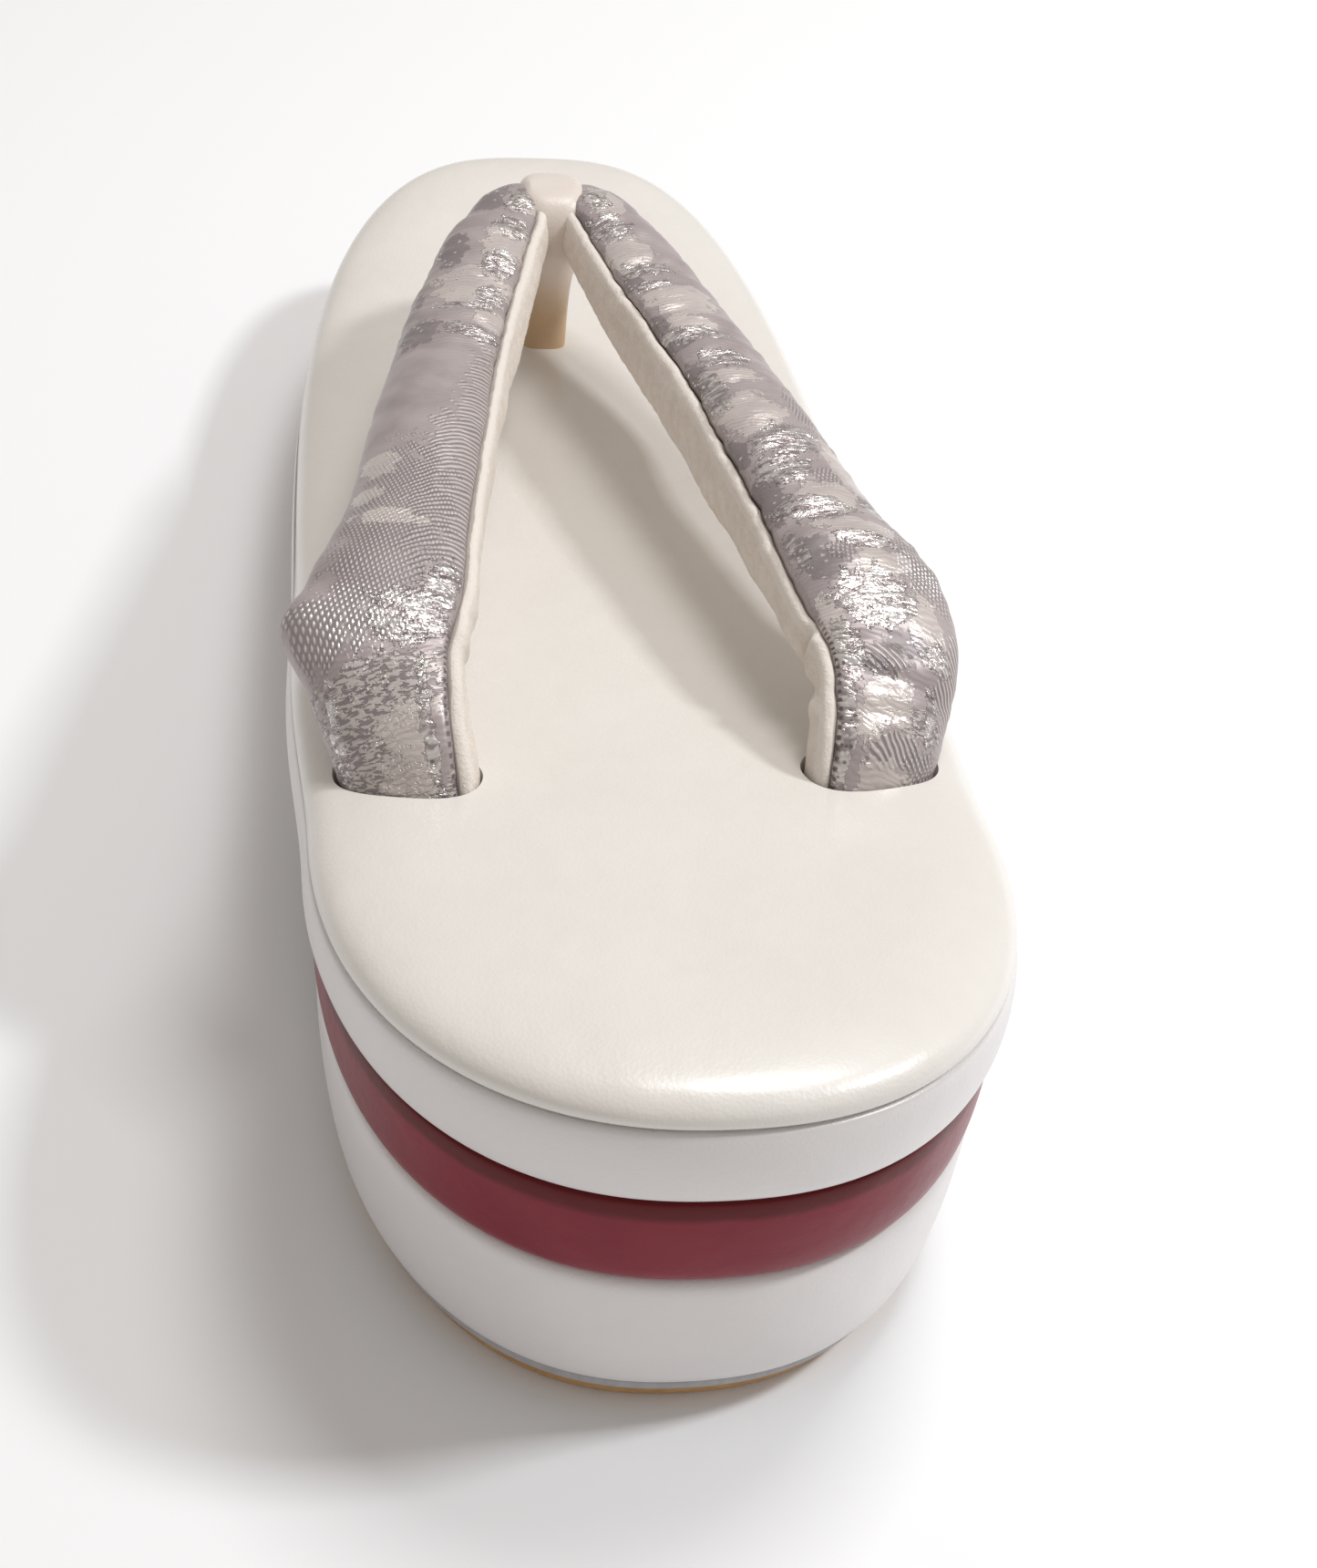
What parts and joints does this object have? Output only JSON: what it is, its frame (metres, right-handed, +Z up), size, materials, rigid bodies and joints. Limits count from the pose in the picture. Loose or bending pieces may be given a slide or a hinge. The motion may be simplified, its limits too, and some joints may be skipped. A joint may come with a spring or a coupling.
{
  "type": "zori sandal",
  "caption": "Thick wedge sandal with a padded brocade V strap held by a post between the toes and a layered ivory and burgundy sole.",
  "frame": {"origin": "centre of the bounding box on the floor the sandal stands on", "axes": "+Z up, +Y from heel to toe, +X to the wearer's right, which is the outer side of this right sandal"},
  "size_m": [0.0818, 0.24, 0.0575],
  "materials": {
    "ivory_cover": "satin",
    "ivory_side": "satin gloss",
    "burgundy": "gloss",
    "grey_edge": "satin",
    "tan_leather": "matte",
    "brocade": "woven with metallic thread",
    "flannel": "napped, matte",
    "loop_leather": "satin"
  },
  "bodies": {
    "root": {"top_cover": "ivory_cover", "upper_layer": "ivory_side", "middle_layer": "burgundy", "lower_layer": "ivory_side", "outsole": "grey_edge", "heel_lift": "tan_leather", "strap_brocade": "brocade", "lining_medial": "flannel", "lining_lateral": "flannel", "front_loop": "loop_leather"}
  },
  "joints": []
}
